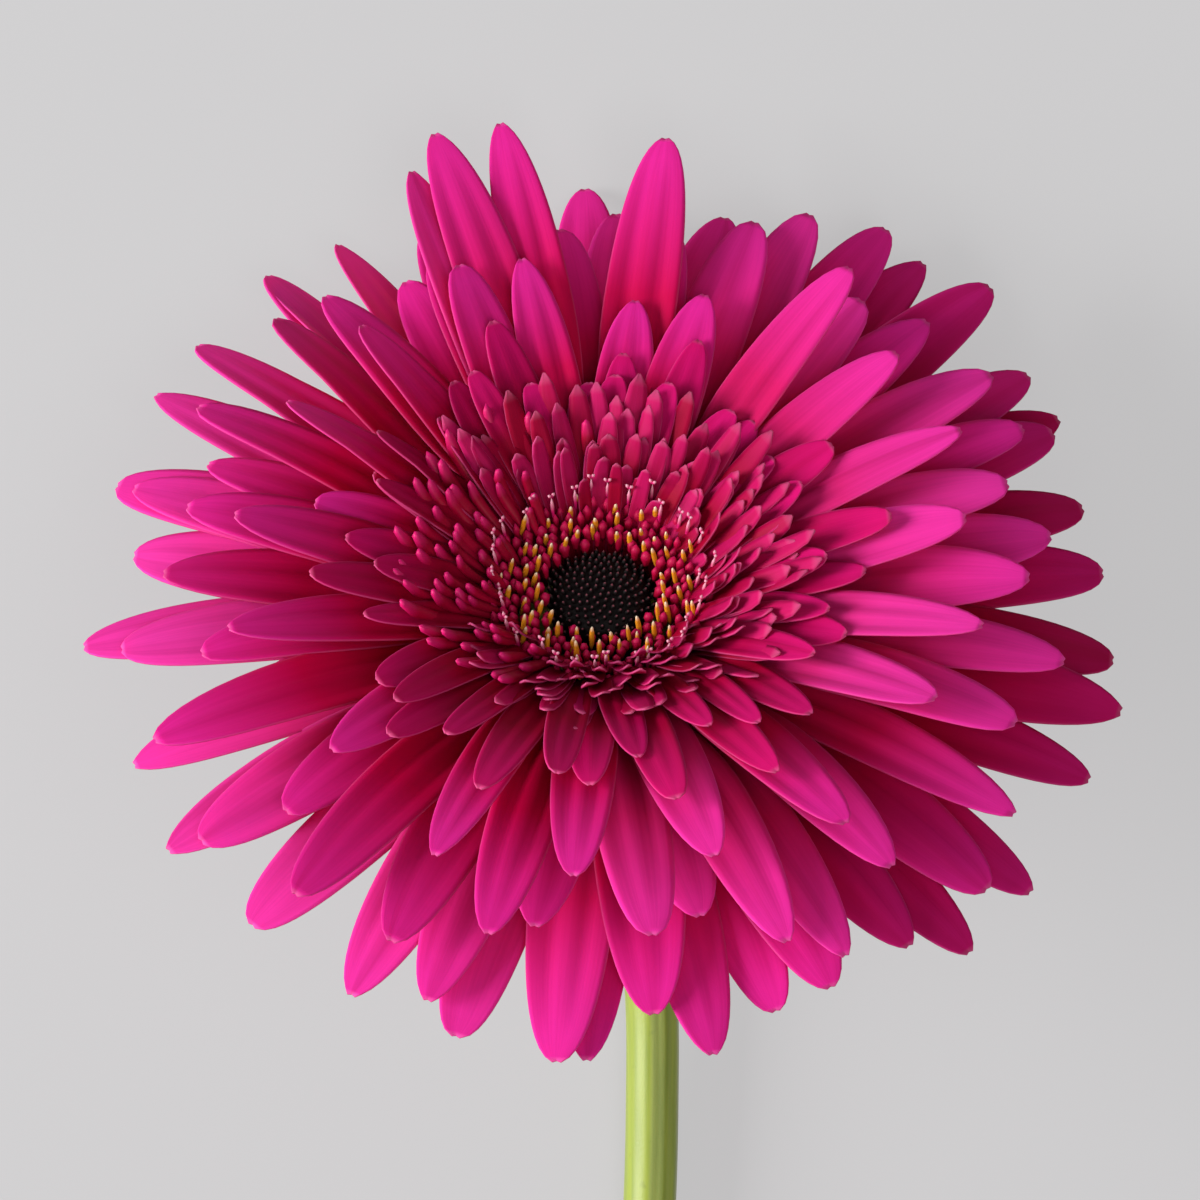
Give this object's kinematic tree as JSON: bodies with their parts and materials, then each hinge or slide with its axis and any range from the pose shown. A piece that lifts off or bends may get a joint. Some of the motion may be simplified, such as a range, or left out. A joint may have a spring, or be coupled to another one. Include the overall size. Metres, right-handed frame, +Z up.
{
  "type": "cut gerbera",
  "caption": "Cut gerbera daisy lying on its side: a layered head of ray florets round a dark disc, on a long curved leafless stem.",
  "frame": {"origin": "bottom centre of the flower's box, on the surface that it lies on", "axes": "+Z up, +Y along the stem from the head towards the cut end, +X to the left as the face of the flower is looked at"},
  "size_m": [0.1136, 0.4246, 0.0711],
  "materials": {
    "ray_petal": "matt petal, magenta pink, slightly translucent",
    "inner_ray": "matt petal, deep crimson pink",
    "trans_floret": "matt small petal, crimson with pale tips",
    "anther": "matt orange yellow pollen",
    "disc_bud": "matt, almost black maroon",
    "stem": "satin yellow green stem with fine ribs",
    "bract": "matt green bracts with fine hairs"
  },
  "bodies": {
    "root": {"disc_buds": "disc_bud", "disc_florets": "anther", "inner_ray_florets_lower": "inner_ray", "inner_ray_florets_upper": "inner_ray", "involucre_inner_bracts": "bract", "involucre_outer_bracts": "bract", "ray_floret_back_01": "ray_petal", "ray_floret_back_02": "ray_petal", "ray_floret_back_03": "ray_petal", "ray_floret_back_04": "ray_petal", "ray_floret_back_05": "ray_petal", "ray_floret_back_06": "ray_petal", "ray_floret_back_07": "ray_petal", "ray_floret_back_08": "ray_petal", "ray_floret_back_09": "ray_petal", "ray_floret_back_10": "ray_petal", "ray_floret_back_11": "ray_petal", "ray_floret_back_12": "ray_petal", "ray_floret_back_13": "ray_petal", "ray_floret_back_14": "ray_petal", "ray_floret_back_15": "ray_petal", "ray_floret_crest_01": "ray_petal", "ray_floret_front_01": "ray_petal", "ray_floret_front_02": "ray_petal", "ray_floret_front_03": "ray_petal", "ray_floret_front_04": "ray_petal", "ray_floret_front_05": "ray_petal", "ray_floret_front_06": "ray_petal", "ray_floret_front_07": "ray_petal", "ray_floret_front_08": "ray_petal", "ray_floret_front_09": "ray_petal", "ray_floret_front_10": "ray_petal", "ray_floret_front_11": "ray_petal", "ray_floret_front_12": "ray_petal", "ray_floret_front_13": "ray_petal", "ray_floret_front_14": "ray_petal", "ray_floret_middle_01": "ray_petal", "ray_floret_middle_02": "ray_petal", "ray_floret_middle_03": "ray_petal", "ray_floret_middle_04": "ray_petal", "ray_floret_middle_05": "ray_petal", "ray_floret_middle_06": "ray_petal", "ray_floret_middle_07": "ray_petal", "ray_floret_middle_08": "ray_petal", "ray_floret_middle_09": "ray_petal", "ray_floret_middle_10": "ray_petal", "ray_floret_middle_11": "ray_petal", "ray_floret_middle_12": "ray_petal", "ray_floret_middle_13": "ray_petal", "ray_floret_middle_14": "ray_petal", "ray_floret_middle_15": "ray_petal", "ray_floret_raised_01": "ray_petal", "ray_floret_raised_02": "ray_petal", "ray_floret_raised_03": "ray_petal", "second_row_ray_florets_lower": "ray_petal", "second_row_ray_florets_upper": "ray_petal", "stem_and_receptacle": "stem", "third_row_ray_florets": "ray_petal", "trans_florets_inner": "trans_floret", "trans_florets_outer": "trans_floret"}
  },
  "joints": []
}
